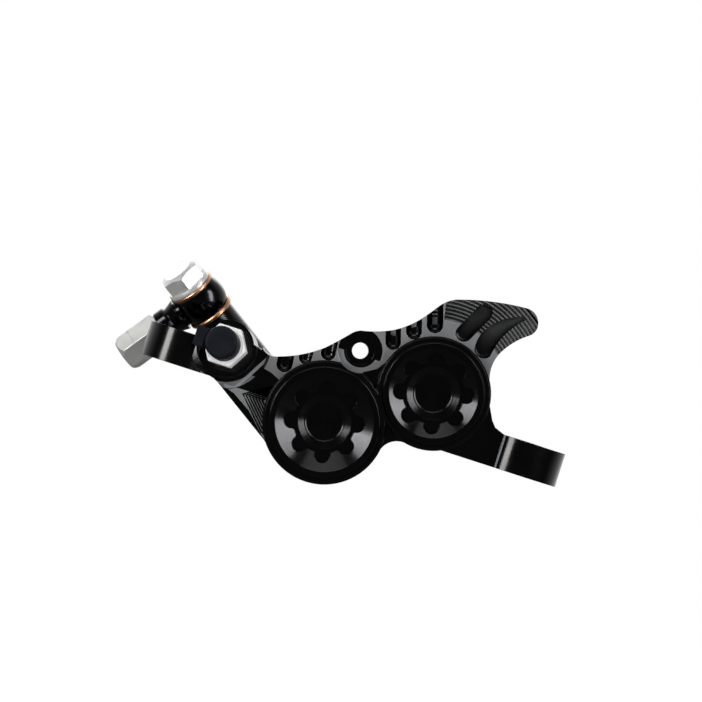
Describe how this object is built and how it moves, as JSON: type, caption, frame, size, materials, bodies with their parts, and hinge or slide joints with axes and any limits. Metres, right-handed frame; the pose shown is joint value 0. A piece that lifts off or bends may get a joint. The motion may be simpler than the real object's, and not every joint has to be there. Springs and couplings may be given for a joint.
{
  "type": "bicycle disc brake caliper",
  "caption": "Post-mount bicycle disc brake caliper in black anodised alloy, with opposed large and small pistons, pads, hose banjo and bleed nipple.",
  "frame": {"origin": "midway between the two mount holes, on the mount face", "axes": "+X along the hole line towards the finned end, +Z away from the mount face, -Y outboard, towards the bore caps"},
  "size_m": [0.0963, 0.0465, 0.048],
  "materials": {
    "black_anodised_body": "black anodised, machined",
    "black_anodised_cap": "black anodised, turned",
    "black_anodised_fitting": "gloss black anodised",
    "bright_steel": "bright stainless",
    "bright_alloy": "silver anodised",
    "copper": "soft copper",
    "brass": "turned",
    "cap_rubber": "moulded matte",
    "seal_rubber": "moulded",
    "piston_steel": "ground stainless",
    "spring_steel": "stamped",
    "pad_plate_steel": "coated steel",
    "friction_lining": "pressed friction compound"
  },
  "bodies": {
    "caliper": {"caliper_body": "black_anodised_body", "large_bore_cap": "black_anodised_cap", "small_bore_cap": "black_anodised_cap", "large_bore_cap_seal": "seal_rubber", "small_bore_cap_seal": "seal_rubber", "outboard_large_dust_seal": "seal_rubber", "outboard_large_pressure_seal": "seal_rubber", "outboard_small_dust_seal": "seal_rubber", "outboard_small_pressure_seal": "seal_rubber", "inboard_large_dust_seal": "seal_rubber", "inboard_large_pressure_seal": "seal_rubber", "inboard_small_dust_seal": "seal_rubber", "inboard_small_pressure_seal": "seal_rubber", "banjo_bolt": "bright_steel", "upper_copper_washer": "copper", "lower_copper_washer": "copper", "pad_spring": "spring_steel"},
    "outboard_pad": {"outboard_pad_plate": "pad_plate_steel", "outboard_pad_lining": "friction_lining"},
    "inboard_pad": {"inboard_pad_plate": "pad_plate_steel", "inboard_pad_lining": "friction_lining"},
    "outboard_large_piston": {"outboard_large_piston": "piston_steel"},
    "outboard_small_piston": {"outboard_small_piston": "piston_steel"},
    "inboard_large_piston": {"inboard_large_piston": "piston_steel"},
    "inboard_small_piston": {"inboard_small_piston": "piston_steel"},
    "banjo": {"banjo": "black_anodised_fitting", "hose_connector": "bright_alloy", "compression_nut": "bright_alloy", "hose_olive": "brass"},
    "bleed_nipple": {"bleed_nipple": "bright_steel", "bleed_cap_strap": "cap_rubber"},
    "bleed_cap": {"bleed_cap": "cap_rubber"}
  },
  "joints": [
    {"name": "outboard_pad_slide", "type": "slide", "parent": "caliper", "child": "outboard_pad", "axis": [0, 1, 0], "range_m": [0, 0.00125], "deforming": ["pad_spring"]},
    {"name": "inboard_pad_slide", "type": "slide", "parent": "caliper", "child": "inboard_pad", "axis": [0, -1, 0], "range_m": [0, 0.00125]},
    {"name": "outboard_large_piston_slide", "type": "slide", "parent": "caliper", "child": "outboard_large_piston", "axis": [0, 1, 0], "range_m": [0, 0.00125]},
    {"name": "outboard_small_piston_slide", "type": "slide", "parent": "caliper", "child": "outboard_small_piston", "axis": [0, 1, 0], "range_m": [0, 0.00125]},
    {"name": "inboard_large_piston_slide", "type": "slide", "parent": "caliper", "child": "inboard_large_piston", "axis": [0, -1, 0], "range_m": [0, 0.00125]},
    {"name": "inboard_small_piston_slide", "type": "slide", "parent": "caliper", "child": "inboard_small_piston", "axis": [0, -1, 0], "range_m": [0, 0.00125]},
    {"name": "banjo_swivel", "type": "hinge", "parent": "caliper", "child": "banjo", "pos_m": [-0.03693, 0.011, 0.01437], "axis": [-0.78, -0.342, 0.5241], "range_deg": [-60, 4]},
    {"name": "bleed_nipple_turn", "type": "hinge", "parent": "caliper", "child": "bleed_nipple", "pos_m": [-0.02847, -0.00453, 0.00672], "axis": [-0.1055, -0.9926, 0.0609], "range_deg": [0, 90]},
    {"name": "bleed_cap_pull", "type": "slide", "parent": "bleed_nipple", "child": "bleed_cap", "axis": [-0.1055, -0.9926, 0.0609], "range_m": [0, 0.006], "deforming": ["bleed_cap_strap"]}
  ],
  "couplings": [
    {"joint": "inboard_pad_slide", "follows": "outboard_pad_slide", "ratio": 1},
    {"joint": "outboard_large_piston_slide", "follows": "outboard_pad_slide", "ratio": 1},
    {"joint": "outboard_small_piston_slide", "follows": "outboard_pad_slide", "ratio": 1},
    {"joint": "inboard_large_piston_slide", "follows": "outboard_pad_slide", "ratio": 1},
    {"joint": "inboard_small_piston_slide", "follows": "outboard_pad_slide", "ratio": 1}
  ]
}
